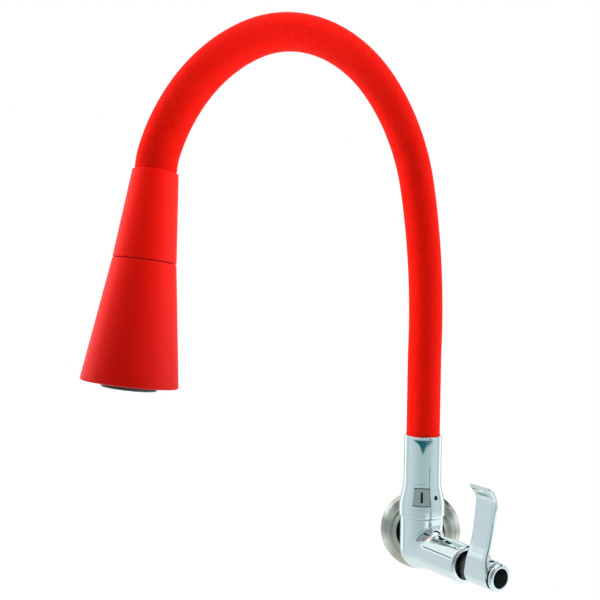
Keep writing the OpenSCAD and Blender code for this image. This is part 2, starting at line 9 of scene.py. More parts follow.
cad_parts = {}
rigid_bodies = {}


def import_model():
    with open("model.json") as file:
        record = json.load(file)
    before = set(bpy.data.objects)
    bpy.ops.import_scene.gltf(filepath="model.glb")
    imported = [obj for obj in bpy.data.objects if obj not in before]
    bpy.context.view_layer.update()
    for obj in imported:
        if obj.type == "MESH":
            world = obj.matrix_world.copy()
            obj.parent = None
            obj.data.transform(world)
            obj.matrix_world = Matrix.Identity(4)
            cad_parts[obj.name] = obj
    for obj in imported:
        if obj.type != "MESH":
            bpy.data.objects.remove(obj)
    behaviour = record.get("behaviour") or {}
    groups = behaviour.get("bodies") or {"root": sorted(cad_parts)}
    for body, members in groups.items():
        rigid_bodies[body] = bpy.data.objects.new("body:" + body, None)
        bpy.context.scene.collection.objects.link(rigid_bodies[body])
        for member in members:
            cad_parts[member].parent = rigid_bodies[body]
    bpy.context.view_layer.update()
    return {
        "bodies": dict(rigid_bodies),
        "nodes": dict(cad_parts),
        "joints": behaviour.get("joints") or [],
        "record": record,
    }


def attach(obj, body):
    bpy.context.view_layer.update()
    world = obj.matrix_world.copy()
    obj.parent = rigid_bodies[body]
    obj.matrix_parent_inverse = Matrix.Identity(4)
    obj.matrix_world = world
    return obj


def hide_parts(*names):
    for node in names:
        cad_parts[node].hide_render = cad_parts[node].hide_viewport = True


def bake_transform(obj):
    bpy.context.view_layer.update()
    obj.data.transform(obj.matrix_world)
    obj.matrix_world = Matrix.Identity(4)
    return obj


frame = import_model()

MM = 0.001

# ---------- driving dimensions, in millimetres ----------
# As in the part's source, but the sleeve's flare (BELL_FROM to BELL_TO) is set 1 mm higher.

WALL_GAP = 42
ROSETTE_R, ROSETTE_H = 28.7, 9
NECK_R, INLET_BORE_R = 12, 7
THREAD_R, THREAD_LEN, THREAD_PITCH, THREAD_DEPTH = 10.48, 15, 1.814, 1.1
COLUMN_R, PARTING_Z = 14.5, 22.6
SOCKET_R, NUT_R, NUT_FLOOR = 9, 11.5, 15
SLEEVE_FOOT, BELL_FROM, BELL_TO, BULGE_R, TUBE_R, TUBE_TOP = 22.9, 28.5, 46.5, 15.5, 12.7, 78
SCREW_Z, SCREW_HOLE_R = 37, 1.5
ARM_TURN, ARM_R, ARM_LEN, BORE_R = 40, 12.4, 45, 9.4
HUB_R, HUB_AT, HUB_LEN, GROOVE_W, CAP_R, CAP_LEN, INDEX_R = 9.2, 51.6, 19.4, 1.8, 8.8, 2.4, 6.2
PLUG_R, SOCKET_DEEP = 7.95, 7
HUB_END = HUB_AT + HUB_LEN
CAP_AT = HUB_END + GROOVE_W
CAP_END = CAP_AT + CAP_LEN
INDEX_SEAT = CAP_END - 1.1
SPOUT_TURN, SPOUT_FOOT, SKIN_R, SKIN_IN_R, SKIN_FROM = 45, 52, 11.3, 7.9, 10
# Stretches of the spout's centre line: [length, turn in degrees]; every second one bends
SPOUT = [[78, 0], [6, -2.4], [107, 14.7], [6, 1.8], [66, 30.7], [6, 3.3], [102, 65.6],
         [6, 3.4], [91, 43.1], [8, 12], [18, 0]]
HEAD_ON_LAST, SKIN_IN_HEAD = 4, 6
COLLAR_TOP_R, SEAM_R, SEAM_AT, MOUTH_R, HEAD_LEN, FACE_PROUD = 12.4, 17.1, 48, 26.2, 114.4, 2.5
BELL_WALL, BOSS_R, PLATE_AT, BAND_SUNK, JET_R = 2.2, 15, 110.4, 1.5, 8.4
FACE_AT = HEAD_LEN + FACE_PROUD


# ---------- frames ----------

def frame_of(origin, z_axis, x_axis):
    """Matrix of a local frame, from its origin and two of its axes."""
    z = Vector(z_axis).normalized()
    x = Vector(x_axis).normalized()
    y = z.cross(x)
    return Matrix.Translation(Vector(origin)) @ Matrix((x, y, z)).transposed().to_4x4()


def state(s):
    """Position and heading on the spout's centre line, a length s from its foot, in its plane."""
    x, z, h = 0.0, 0.0, 0.0
    for k, (length, turn) in enumerate(SPOUT):
        u = s if k == len(SPOUT) - 1 or s <= length else length
        t = math.radians(turn * u / length)
        if turn == 0:
            x, z = x + u * math.sin(h), z + u * math.cos(h)
        else:
            r = length / math.radians(turn)
            x += r * (math.cos(h) - math.cos(h + t))
            z += r * (math.sin(h + t) - math.sin(h))
        h += t
        s -= length
        if s <= 0:
            break
    return x, z, h


def start_of(k):
    """Distance along the centre line at which stretch k starts."""
    return sum(length for length, _ in SPOUT[:k])


ARM_ANGLE, SPOUT_ANGLE = math.radians(ARM_TURN), math.radians(SPOUT_TURN)
ARM_OUT = Vector((math.sin(ARM_ANGLE), -math.cos(ARM_ANGLE), 0))
ARM_SIDE = Vector((math.cos(ARM_ANGLE), math.sin(ARM_ANGLE), 0))
SPOUT_OUT = Vector((-math.sin(SPOUT_ANGLE), -math.cos(SPOUT_ANGLE), 0))
UP = Vector((0, 0, 1))
AXIS = Vector((0, -WALL_GAP, 0))

COLUMN = frame_of(AXIS, UP, ARM_OUT)
ARM = frame_of(AXIS, ARM_OUT, ARM_SIDE)
INLET = frame_of(AXIS, (0, 1, 0), (-1, 0, 0))
ROSETTE = frame_of((0, 0, 0), (0, -1, 0), (1, 0, 0))


def on_line(s):
    """Frame at distance s along the spout: +Z along it, +X away from the column in its plane."""
    x, z, h = state(s)
    origin = AXIS + SPOUT_OUT * x + UP * (SPOUT_FOOT + z)
    return frame_of(origin, SPOUT_OUT * math.sin(h) + UP * math.cos(h),
                    SPOUT_OUT * math.cos(h) - UP * math.sin(h))


HEAD = on_line(start_of(len(SPOUT) - 1) + HEAD_ON_LAST)


# ---------- camera ----------

def make_camera():
    """Camera at the photographed angle; focal length for a square frame of 600 pixels."""
    place, focal_px, frame_px, sensor = Vector((-12.5, -690, 202)) * MM, 950, 600, 36
    yaw, pitch, roll = math.radians(-6.43), math.radians(2.97), math.radians(-0.64)
    ahead = Vector((math.sin(yaw) * math.cos(pitch), math.cos(yaw) * math.cos(pitch),
                    -math.sin(pitch)))
    right = Vector((math.cos(yaw), -math.sin(yaw), 0))
    down = ahead.cross(right)
    image_x = right * math.cos(roll) + down * math.sin(roll)
    image_y = right * math.sin(roll) - down * math.cos(roll)
    data = bpy.data.cameras.new("camera")
    data.sensor_width = sensor
    data.lens = focal_px / frame_px * sensor
    camera = bpy.data.objects.new("camera", data)
    camera.matrix_world = (Matrix.Translation(place)
                           @ Matrix((image_x, image_y, -ahead)).transposed().to_4x4())
    bpy.context.scene.collection.objects.link(camera)
    bpy.context.scene.camera = camera


make_camera()


# ---------- mesh kit: shapes are in millimetres in a local frame ----------

def circle(r, z, segments):
    """Points round the local Z axis at a height; one point where the radius is 0."""
    if r < 1e-6:
        return [Vector((0, 0, z))]
    return [Vector((r * math.cos(a), r * math.sin(a), z))
            for a in (math.tau * i / segments for i in range(segments))]


class Shape:
    """Vertices and faces gathered from rows of points, with a paint number for each face."""

    def __init__(self):
        self.verts, self.faces, self.paint = [], [], []

    def row(self, points):
        """Adds a row of vertices and gives back their numbers."""
        first = len(self.verts)
        self.verts.extend(tuple(p) for p in points)
        return list(range(first, first + len(points)))

    def strip(self, a, b, paint=0, skip=()):
        """Faces between two closed rows; a row of one vertex is a point they meet in."""
        n = max(len(a), len(b))
        for i in range(n):
            if i in skip:
                continue
            j = (i + 1) % n
            if len(a) == 1:
                face = (a[0], b[j], b[i])
            elif len(b) == 1:
                face = (a[i], a[j], b[0])
            else:
                face = (a[i], a[j], b[j], b[i])
            self.faces.append(face)
            self.paint.append(paint)

    def cap(self, row):
        """One flat face over a row."""
        self.faces.append(tuple(row))
        self.paint.append(0)

    def join(self, rows, paint=0, capped=False):
        """Strips between neighbouring rows; capped adds a flat face at both ends."""
        for a, b in zip(rows, rows[1:]):
            self.strip(a, b, paint)
        if capped:
            self.cap(rows[0])
            self.cap(rows[-1])

    def lathe(self, outline, segments=160, paint=0, frame=None, paints=None):
        """Turns a closed outline of (radius, height) points round the local Z axis."""
        rows = []
        for r, z in outline:
            ring = circle(r, z, segments)
            rows.append(self.row([frame @ p for p in ring] if frame else ring))
        for i, a in enumerate(rows):
            b = rows[(i + 1) % len(rows)]
            if len(a) > 1 or len(b) > 1:
                self.strip(a, b, paints[i] if paints else paint)

    def piece(self, name, frame, materials, sharp):
        """Makes the Blender object, smooth shaded, with edges sharper than a limit kept crisp.
        materials is one material, or a list that the paint numbers count through."""
        mesh = bpy.data.meshes.new(name)
        mesh.from_pydata([(frame @ Vector(v)) * MM for v in self.verts], [], self.faces)
        for i, p in enumerate(self.paint):
            mesh.polygons[i].material_index = p
        work = bmesh.new()
        work.from_mesh(mesh)
        bmesh.ops.recalc_face_normals(work, faces=work.faces)
        work.to_mesh(mesh)
        work.free()
        mesh.shade_smooth()
        mesh.set_sharp_from_angle(angle=math.radians(sharp))
        for m in materials if isinstance(materials, (list, tuple)) else [materials]:
            mesh.materials.append(m)
        obj = bpy.data.objects.new(name, mesh)
        bpy.context.scene.collection.objects.link(obj)
        return obj


def rounded(points, steps=5, guard=0.3):
    """Closed outline from (x, y) or (x, y, radius) corners; a corner with a radius becomes an arc.
    Long sides get a guard point beside each arc, so that they are shaded flat."""
    out = []
    n = len(points)
    for i, p in enumerate(points):
        if len(p) == 2 or p[2] <= 0:
            out.append((p[0], p[1]))
            continue
        here, before, after = (Vector(q[:2]) for q in (p, points[i - 1], points[(i + 1) % n]))
        a, b = (before - here).normalized(), (after - here).normalized()
        half = a.angle(b) / 2
        cut = p[2] / math.tan(half)
        start, end = here + a * cut, here + b * cut
        centre = here + (a + b).normalized() * (p[2] / math.sin(half))
        u, v = start - centre, end - centre
        turn = u.angle_signed(v)
        if guard and (before - here).length > cut + 3:
            out.append(tuple(start + a * guard))
        for k in range(steps + 1):
            spun = Matrix.Rotation(-turn * k / steps, 2) @ u
            out.append(tuple(centre + spun))
        if guard and (after - here).length > cut + 3:
            out.append(tuple(end + b * guard))
    return out


def ease(t):
    """Smooth step from 0 to 1."""
    return (1 - math.cos(math.pi * min(max(t, 0), 1))) / 2


def spline(points, n):
    """Smooth open curve through points, with n steps between neighbours."""
    out = []
    for i in range(len(points) - 1):
        a, b, c, d = (Vector(points[min(max(i + k, 0), len(points) - 1)]) for k in (-1, 0, 1, 2))
        for j in range(n):
            t = j / n
            out.append(0.5 * (2 * b + (c - a) * t + (2 * a - 5 * b + 4 * c - d) * t * t
                              + (3 * b - a - 3 * c + d) * t * t * t))
    return out + [Vector(points[-1])]


def resampled(points, n):
    """n + 1 points spread evenly along a polyline."""
    lengths = [0]
    for a, b in zip(points, points[1:]):
        lengths.append(lengths[-1] + (b - a).length)
    out, k = [], 0
    for i in range(n + 1):
        want = lengths[-1] * i / n
        while k < len(points) - 2 and lengths[k + 1] < want:
            k += 1
        span = lengths[k + 1] - lengths[k]
        out.append(points[k].lerp(points[k + 1], (want - lengths[k]) / span if span else 0))
    return out


# ---------- materials ----------

class Look:
    """A Principled material and small helpers that add procedural detail to it."""

    def __init__(self, name, color, metallic=0.0, roughness=0.5, **sockets):
        self.mat = bpy.data.materials.new(name)
        self.mat.use_nodes = True
        self.tree = self.mat.node_tree
        self.shader = self.tree.nodes["Principled BSDF"]
        self.color = color
        self.shader.inputs["Base Color"].default_value = (*color, 1)
        self.shader.inputs["Metallic"].default_value = metallic
        self.shader.inputs["Roughness"].default_value = roughness
        for key, value in sockets.items():
            self.shader.inputs[key.replace("_", " ")].default_value = value
        self.coords = self.node("ShaderNodeTexCoord").outputs["Object"]

    def node(self, kind, **settings):
        """New node with some of its settings."""
        made = self.tree.nodes.new(kind)
        for key, value in settings.items():
            setattr(made, key, value)
        return made

    def join(self, a, b):
        """Link from an output to an input."""
        self.tree.links.new(a, b)

    def noise(self, per_mm, detail):
        """Noise with about per_mm cells to the millimetre."""
        made = self.node("ShaderNodeTexNoise")
        made.inputs["Scale"].default_value = per_mm / MM
        made.inputs["Detail"].default_value = detail
        self.join(self.coords, made.inputs["Vector"])
        return made.outputs["Fac"]

    def ramp(self, value, low, high, out_low, out_high):
        """Maps a value from one range to another."""
        made = self.node("ShaderNodeMapRange")
        for key, number in (("From Min", low), ("From Max", high), ("To Min", out_low),
                            ("To Max", out_high)):
            made.inputs[key].default_value = number
        self.join(value, made.inputs["Value"])
        return made.outputs["Result"]

    def stops(self, marks):
        """Colour ramp through (position, colour) marks."""
        made = self.node("ShaderNodeValToRGB")
        ramp = made.color_ramp.elements
        for k, (at, color) in enumerate(marks):
            mark = ramp[k] if k < 2 else ramp.new(at)
            mark.position, mark.color = at, (*color, 1)
        return made

    def vary_color(self, value, other, low=0.35, high=0.65):
        """Colour that runs from the base colour to another with a value."""
        made = self.node("ShaderNodeMix", data_type="RGBA")
        self.join(self.ramp(value, low, high, 0, 1), made.inputs["Factor"])
        made.inputs[6].default_value = (*self.color, 1)
        made.inputs[7].default_value = (*other, 1)
        self.join(made.outputs[2], self.shader.inputs["Base Color"])
        return self

    def vary_roughness(self, value, low, high):
        """Roughness that runs between two values with a noise."""
        self.join(self.ramp(value, 0.3, 0.7, low, high), self.shader.inputs["Roughness"])
        return self

    def bump(self, value, depth_mm, strength):
        """Relief of a given depth."""
        made = self.node("ShaderNodeBump")
        made.inputs["Strength"].default_value = strength
        made.inputs["Distance"].default_value = depth_mm * MM
        self.join(value, made.inputs["Height"])
        self.join(made.outputs["Normal"], self.shader.inputs["Normal"])
        return self


def chrome():
    """Polished chrome plate with the faint unevenness of a polished casting."""
    look = Look("chrome_plate", (0.80, 0.85, 0.86), 1.0, 0.025)
    look.vary_roughness(look.noise(0.15, 4), 0.018, 0.035)
    return look.bump(look.noise(0.09, 1), 0.02, 0.35).mat


def silicone():
    """Matte red silicone skin with a fine soft grain."""
    look = Look("red_silicone", (0.82, 0.006, 0.0006), 0.0, 0.66, Specular_IOR_Level=0.07)
    look.vary_color(look.noise(0.25, 4), (0.75, 0.005, 0.0004))
    look.vary_roughness(look.noise(0.6, 3), 0.60, 0.72)
    return look.bump(look.noise(2.2, 3), 0.02, 0.6).mat


def soft_plastic():
    """Soft-touch red plastic of the head, finely pitted, with painted shade that darkens it towards
    the mouth.
    """
    look = Look("red_plastic", (0.97, 0.006, 0.001), 0.0, 0.42, Specular_IOR_Level=0.12)
    # Painted shade: the red darkens from near the top down to the mouth, its border wobbled by
    # noise
    low, high = HEAD @ Vector((0, 0, HEAD_LEN)), HEAD @ Vector((0, 0, 0))
    above_low, above_high, shade_wobble = 10, 6, 18
    place = look.node("ShaderNodeSeparateXYZ")
    look.join(look.coords, place.inputs[0])
    down = look.node("ShaderNodeMath", operation="ADD")
    look.join(place.outputs["Z"], down.inputs[0])
    wobble = look.node("ShaderNodeMath", operation="MULTIPLY")
    look.join(look.noise(0.5, 4), wobble.inputs[0])
    wobble.inputs[1].default_value = shade_wobble * MM
    look.join(wobble.outputs[0], down.inputs[1])
    look.vary_color(down.outputs[0], (0.55, 0.003, 0.0005), (high.z + above_high) * MM,
                    (low.z + above_low) * MM)
    look.vary_roughness(look.noise(1.2, 3), 0.38, 0.48)
    return look.bump(look.noise(3.5, 2), 0.018, 0.7).mat


# Painted reflections and shade in bands: tone of the rosette's steel against radius, in parts of
# BANDS_SPAN
BANDS_SPAN = 30
BAND_SHADING = ((0.58, 0.9), (0.63, 0.8), (0.68, 0.54), (0.72, 0.56), (0.79, 1.18), (0.90, 1.4),
         (0.96, 1.15))
# Painted highlights and shade of its spun rim, as share of that tone against the angle round the
# axis in degrees
GLINT_STREAKS = ((-180, 0.48), (-161, 0.95), (-135, 0.48), (-60, 0.65), (-12, 0.8), (0, 0.55), (19, 1.3),
           (31, 0.6), (60, 0.9), (135, 0.7), (150, 1.4), (166, 0.48), (180, 0.48))
# The painted highlights and shade show fully from the second radius outwards, and by a share of
# that up to the first
STREAKS_FROM, STREAKS_TO, STREAKS_INNER = 22, 25, 0.3


def brushed(name, color, roughness):
    """Steel brushed in rings round the rosette's axis, with painted reflection bands by radius and
    painted highlights by angle in its colour.
    """
    look = Look(name, color, 1.0, roughness)
    # fine lines by the radius alone
    radius = look.node("ShaderNodeVectorMath", operation="LENGTH")
    flat = look.node("ShaderNodeVectorMath", operation="MULTIPLY")
    flat.inputs[1].default_value = (1, 0, 1)
    look.join(look.coords, flat.inputs[0])
    look.join(flat.outputs["Vector"], radius.inputs[0])
    line = look.node("ShaderNodeCombineXYZ")
    look.join(radius.outputs["Value"], line.inputs["X"])
    fine = look.node("ShaderNodeTexNoise")
    fine.inputs["Scale"].default_value = 4.5 / MM
    fine.inputs["Detail"].default_value = 4
    look.join(line.outputs["Vector"], fine.inputs["Vector"])
    look.vary_roughness(fine.outputs["Fac"], roughness - 0.08, roughness + 0.1)
    # painted shade by radius, times painted highlights by angle
    tone = look.stops([(at, tuple(c * share for c in color)) for at, share in BAND_SHADING])
    look.join(look.ramp(radius.outputs["Value"], 0, BANDS_SPAN * MM, 0, 1), tone.inputs["Fac"])
    split = look.node("ShaderNodeSeparateXYZ")
    look.join(look.coords, split.inputs["Vector"])
    angle = look.node("ShaderNodeMath", operation="ARCTAN2")
    look.join(split.outputs["Z"], angle.inputs[0])
    look.join(split.outputs["X"], angle.inputs[1])
    glint_share = look.stops([((a + 180) / 360, (share,) * 3) for a, share in GLINT_STREAKS])
    look.join(look.ramp(angle.outputs["Value"], -math.pi, math.pi, 0, 1), glint_share.inputs["Fac"])
    both = look.node("ShaderNodeMix", data_type="RGBA", blend_type="MULTIPLY", clamp_result=True)
    strength = look.ramp(radius.outputs["Value"], STREAKS_FROM * MM, STREAKS_TO * MM,
                         STREAKS_INNER, 1)
    look.join(strength, both.inputs[0])
    look.join(tone.outputs["Color"], both.inputs[6])
    look.join(glint_share.outputs["Color"], both.inputs[7])
    look.join(both.outputs[2], look.shader.inputs["Base Color"])
    return look.bump(fine.outputs["Fac"], 0.02, 0.6).mat


def machined(name, color, roughness):
    """Turned metal with fine tool marks and a patchy tarnish."""
    look = Look(name, color, 1.0, roughness)
    look.vary_color(look.noise(0.2, 4), tuple(c * 0.78 for c in color))
    look.vary_roughness(look.noise(0.5, 3), roughness - 0.06, roughness + 0.1)
    return look.bump(look.noise(1.5, 2), 0.01, 0.5).mat


def moulded(name, color, roughness, grain_mm=0.012, **sockets):
    """Moulded plastic or rubber with a fine spark-eroded grain."""
    look = Look(name, color, 0.0, roughness, **sockets)
    look.vary_color(look.noise(0.4, 3), tuple(min(c * 1.25 + 0.004, 1) for c in color))
    look.vary_roughness(look.noise(1.0, 3), roughness - 0.05, roughness + 0.1)
    return look.bump(look.noise(3.0, 2), grain_mm, 0.6).mat


CHROME = chrome()
SILICONE = silicone()
RED = soft_plastic()
STEEL = brushed("brushed_steel", (0.70, 0.67, 0.59), 0.22)
BRASS = machined("brass", (0.78, 0.58, 0.28), 0.28)
DARK_BRASS = machined("dark_brass", (0.10, 0.105, 0.11), 0.34)
SMALL_STEEL = machined("small_steel", (0.56, 0.57, 0.60), 0.24)
DARK_STEEL = machined("dark_steel", (0.06, 0.06, 0.065), 0.36)
CORE_STEEL = machined("gooseneck_steel", (0.55, 0.56, 0.58), 0.3)
RUBBER = moulded("black_rubber", (0.012, 0.012, 0.013), 0.6)
BLACK = moulded("black_plastic", (0.010, 0.011, 0.013), 0.3, 0.006)
GLOSS_BLACK = moulded("black_gloss", (0.001, 0.001, 0.002), 0.10, 0.001,
                      Specular_IOR_Level=0.03)
CERAMIC = moulded("ceramic_disc", (0.84, 0.82, 0.77), 0.2, 0.003)
WHITE = moulded("white_plastic", (0.82, 0.81, 0.78), 0.4)
WATER_TUBE = moulded("water_tube", (0.80, 0.80, 0.77), 0.35)
# Painted shade: near-black steel for the rosette's recess, where shade falls
SHADE = machined("rosette_recess_painted_shade", (0.012, 0.018, 0.02), 0.55)


# ---------- wall side ----------

def make_rosette():
    """Pressed rosette: a wide dished band, a step, a raised inner band and a recess painted dark
    with shade.
    """
    band, inner, well = ROSETTE_R - 6.7, ROSETTE_R - 10, ROSETTE_R - 11.8
    hole, h = NECK_R + 0.05, ROSETTE_H
    shape = Shape()
    face = rounded([
        (well + 0.8, 7.8), (ROSETTE_R - 1, 1.2), (ROSETTE_R - 1, 0),
        (ROSETTE_R, 0), (ROSETTE_R, 1.5, 0.6), (ROSETTE_R - 0.7, h - 6.3, 0.5),
        (ROSETTE_R - 1.7, h - 5.2, 1), (ROSETTE_R - 3.2, h - 4.4, 1.2),
        (ROSETTE_R - 4.8, h - 3.9, 1.2), (band + 0.5, h - 3.6, 0.5),
        (band, h - 2.6, 0.4), (inner + 0.8, h - 1.4, 0.5),
        (inner, h, 0.4), (well + 0.6, h, 0.3), (well, h - 0.8, 0.3), (well, 2), (hole, 2),
        (hole, 1.2), (well + 0.8, 1.2)], guard=0)
    # faces inside the recess take SHADE, their painted shade
    recess = [r < well + 0.05 for r, _ in face]
    shape.lathe(face, 240, paints=[int(a and b) for a, b in zip(recess, recess[1:] + recess[:1])])
    piece = shape.piece("wall_rosette", ROSETTE, [STEEL, SHADE], 40)
    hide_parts("escutcheon")
    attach(piece, "valve")


def branch(shape, frame, radius, reach_top, reach_low, tail):
    """A round branch that leaves the column, with a fillet where they meet, of one reach on top and
    another below. tail is its outline beyond the fillet, as (radius, height) points, and ends on
    the axis. fullness is how far the fillet holds to its two ends before it turns."""
    segments, steps, fullness = 160, 12, 0.62
    columns = [[] for _ in range(steps + 1)]
    for i in range(segments):
        a = math.tau * i / segments
        c, s = math.cos(a), math.sin(a)
        reach = (reach_top + reach_low) / 2 + (reach_top - reach_low) / 2 * s
        if s >= 0:  # the upper half meets the column, a cylinder
            phi0 = math.asin(radius * c / COLUMN_R)
            phi = phi0 + reach / COLUMN_R * c
            foot = Vector((COLUMN_R * math.sin(phi), (radius + reach) * s,
                           COLUMN_R * math.cos(phi)))
            away = Vector((math.cos(phi) * c, s, -math.sin(phi) * c))
            meet = COLUMN_R * math.cos(phi0)
        else:  # the lower half meets its round foot, a sphere
            alpha0 = math.asin(radius / COLUMN_R)
            alpha = alpha0 + reach / COLUMN_R
            foot = Vector((COLUMN_R * math.sin(alpha) * c, COLUMN_R * math.sin(alpha) * s,
                           COLUMN_R * math.cos(alpha)))
            away = Vector((math.cos(alpha) * c, math.cos(alpha) * s, -math.sin(alpha)))
            meet = COLUMN_R * math.cos(alpha0)
        end = Vector((radius * c, radius * s, meet + reach))
        pull = reach * fullness
        p1, p2 = foot - away * pull, end - UP * pull
        for k in range(steps + 1):
            t = k / steps
            columns[k].append(foot * (1 - t) ** 3 + p1 * (3 * t * (1 - t) ** 2)
                              + p2 * (3 * t * t * (1 - t)) + end * t ** 3)
    # the fillet's foot goes on a little way into the column
    sink = 0.985
    root = [Vector((p.x * sink, p.y * sink, p.z * sink)) for p in columns[0]]
    rows = [shape.row([frame @ Vector((0, 0, 0))]), shape.row([frame @ p for p in root])]
    rows += [shape.row([frame @ p for p in column]) for column in columns]
    rows += [shape.row([frame @ p for p in circle(r, z, segments)]) for r, z in tail]
    shape.join(rows)


THREAD_SEGMENTS = 96


def thread_rows(z0, z1):
    """Rows of a pipe thread cut into the end of the inlet, with a lead-in chamfer."""
    segments, rows_per_turn, rows = THREAD_SEGMENTS, 10, []
    chamfer, run_out, crest, steepness = 1.6, 1.2, 1.35, 3.4
    count = int((z1 - z0) / THREAD_PITCH * rows_per_turn)
    for j in range(count + 1):
        z = z0 + (z1 - z0) * j / count
        growth = max(min(1, (z1 - z) / chamfer, (z - z0) / run_out), 0)
        row = []
        for i in range(segments):
            a = math.tau * i / segments
            phase = (z / THREAD_PITCH - i / segments) % 1
            ridge = max(0.0, min(1.0, crest - abs(phase - 0.5) * steepness))
            r = THREAD_R - THREAD_DEPTH + THREAD_DEPTH * ridge * growth
            row.append(Vector((r * math.cos(a), r * math.sin(a), z)))
        rows.append(row)
    return rows


def make_valve():
    """Chromed casting: column with a round foot, valve arm and threaded inlet."""
    shape, socket_floor, bore_floor, inlet_floor = Shape(), 9, 30, 16
    foot = [(COLUMN_R * math.sin(a), -COLUMN_R * math.cos(a))
            for a in (math.pi / 2 * i / 24 for i in range(25))]
    top = rounded([(COLUMN_R, 0), (COLUMN_R, PARTING_Z, 0.3), (NUT_R, PARTING_Z, 0.3),
                   (NUT_R, NUT_FLOOR), (SOCKET_R, NUT_FLOOR), (SOCKET_R, socket_floor),
                   (0, socket_floor), (0, 0)])[1:-1]
    shape.lathe(foot + top, 192, frame=COLUMN)
    branch(shape, ARM, ARM_R, 6.0, 7.0, rounded([
        (ARM_R, bore_floor), (ARM_R, ARM_LEN, 2.4), (BORE_R, ARM_LEN, 0.3), (BORE_R, bore_floor),
        (0, bore_floor)])[1:])
    branch(shape, INLET, NECK_R, 3.0, 4.0, rounded([
        (NECK_R, 30), (NECK_R, WALL_GAP - 1, 0.4), (THREAD_R - THREAD_DEPTH, WALL_GAP - 1),
        (THREAD_R - THREAD_DEPTH, WALL_GAP - 0.4), (INLET_BORE_R, WALL_GAP - 0.4),
        (INLET_BORE_R, inlet_floor), (0, inlet_floor)])[1:])
    z0, z1 = WALL_GAP - 0.6, WALL_GAP + THREAD_LEN
    rows = [shape.row([INLET @ p for p in row]) for row in thread_rows(z0, z1)]
    shape.join(rows, 1)
    inner = [shape.row([INLET @ p for p in circle(INLET_BORE_R, z, THREAD_SEGMENTS)])
             for z in (z1, z0)]
    shape.join([rows[-1], *inner, rows[0]], 1)
    piece = shape.piece("valve_casting", Matrix.Identity(4), [CHROME, BRASS], 34)
    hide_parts("valve_body")
    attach(piece, "valve")


# ---------- turning sleeve ----------

# Radii of the sleeve's soft edges, at its foot and at its lip
FOOT_ROUND, LIP_ROUND = 0.5, 0.35


def sleeve_r(z):
    """Outer radius of the sleeve at a height."""
    if z < SLEEVE_FOOT + FOOT_ROUND:
        t = 1 - (z - SLEEVE_FOOT) / FOOT_ROUND
        return BULGE_R - FOOT_ROUND * (1 - math.sqrt(max(0, 1 - t * t)))
    if z > TUBE_TOP - LIP_ROUND:
        t = (z - TUBE_TOP + LIP_ROUND) / LIP_ROUND
        return TUBE_R - LIP_ROUND * (1 - math.sqrt(max(0, 1 - t * t)))
    return BULGE_R + (TUBE_R - BULGE_R) * ease((z - BELL_FROM) / (BELL_TO - BELL_FROM))


def sleeve_point(a, z, depth=0.0):
    """Point at an angle and a height, on the sleeve's skin or a depth below it."""
    r = sleeve_r(z) - depth
    return (r * math.cos(a), r * math.sin(a), z)


def screw_hole(shape, rows, rows_z, low, high, half_cells):
    """Round blind hole for the grub screw, worked out in the plane of arc length and height. It
    fills a square opening in the skin: rows low to high, half_cells to either side of angle 0."""
    segments = len(rows[0])
    span = range(-half_cells, half_cells + 1)
    loop = [(i, low) for i in span] + [(half_cells, j) for j in range(low + 1, high)]
    loop += [(i, high) for i in reversed(span)]
    loop += [(-half_cells, j) for j in range(high - 1, low, -1)]
    edge = [rows[j][i % segments] for i, j in loop]
    r0 = sleeve_r(SCREW_Z)
    for ring_r, depth in ((2.0, 0), (SCREW_HOLE_R + 0.12, 0), (SCREW_HOLE_R, 0.12),
                          (SCREW_HOLE_R, 1.6)):
        ring = []
        for i, j in loop:
            u, v = r0 * math.tau * i / segments, rows_z[j] - SCREW_Z
            scale = ring_r / math.hypot(u, v)
            ring.append(sleeve_point(u * scale / r0, SCREW_Z + v * scale, depth))
        row = shape.row(ring)
        shape.strip(edge, row)
        edge = row
    shape.cap(edge)


def make_sleeve():
    """Chrome sleeve: a belled foot that narrows into a tube, with a hole for the grub screw."""
    segments, half_cells, half_height = 216, 6, 2.5
    rows_z = [SLEEVE_FOOT + FOOT_ROUND * (1 - math.cos(math.pi / 2 * i / 6)) for i in range(7)]
    rows_z += [24.5 + 0.5 * i for i in range(45)] + [52, 58, 64, 70, 76]
    rows_z += [TUBE_TOP - LIP_ROUND + LIP_ROUND * math.sin(math.pi / 2 * i / 5) for i in range(6)]
    shape = Shape()
    rows = [shape.row([sleeve_point(math.tau * i / segments, z) for i in range(segments)])
            for z in rows_z]
    low = max(j for j, z in enumerate(rows_z) if z <= SCREW_Z - half_height)
    high = min(j for j, z in enumerate(rows_z) if z >= SCREW_Z + half_height)
    hidden = [i % segments for i in range(-half_cells, half_cells)]
    for j in range(len(rows) - 1):
        shape.strip(rows[j], rows[j + 1], skip=hidden if low <= j < high else ())
    screw_hole(shape, rows, rows_z, low, high, half_cells)
    lip_r, skin_r, wall_r, foot_r = SKIN_R + 0.6, SKIN_R + 0.05, TUBE_R - 1.2, BULGE_R - 2
    inside = rounded([(0, TUBE_TOP), (lip_r, TUBE_TOP, 0.25), (lip_r, TUBE_TOP - 3),
                      (skin_r, TUBE_TOP - 3), (skin_r, 61.5), (wall_r, 61.5),
                      (wall_r, 40), (foot_r, 31), (foot_r, SLEEVE_FOOT)])[1:]
    rows += [shape.row(circle(r, z, segments)) for r, z in inside]
    shape.join(rows[len(rows_z) - 1:] + [rows[0]])
    piece = shape.piece("swivel_sleeve", COLUMN, CHROME, 40)
    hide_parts("spout_sleeve")
    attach(piece, "spout_base")


# ---------- lever, cap and disc ----------

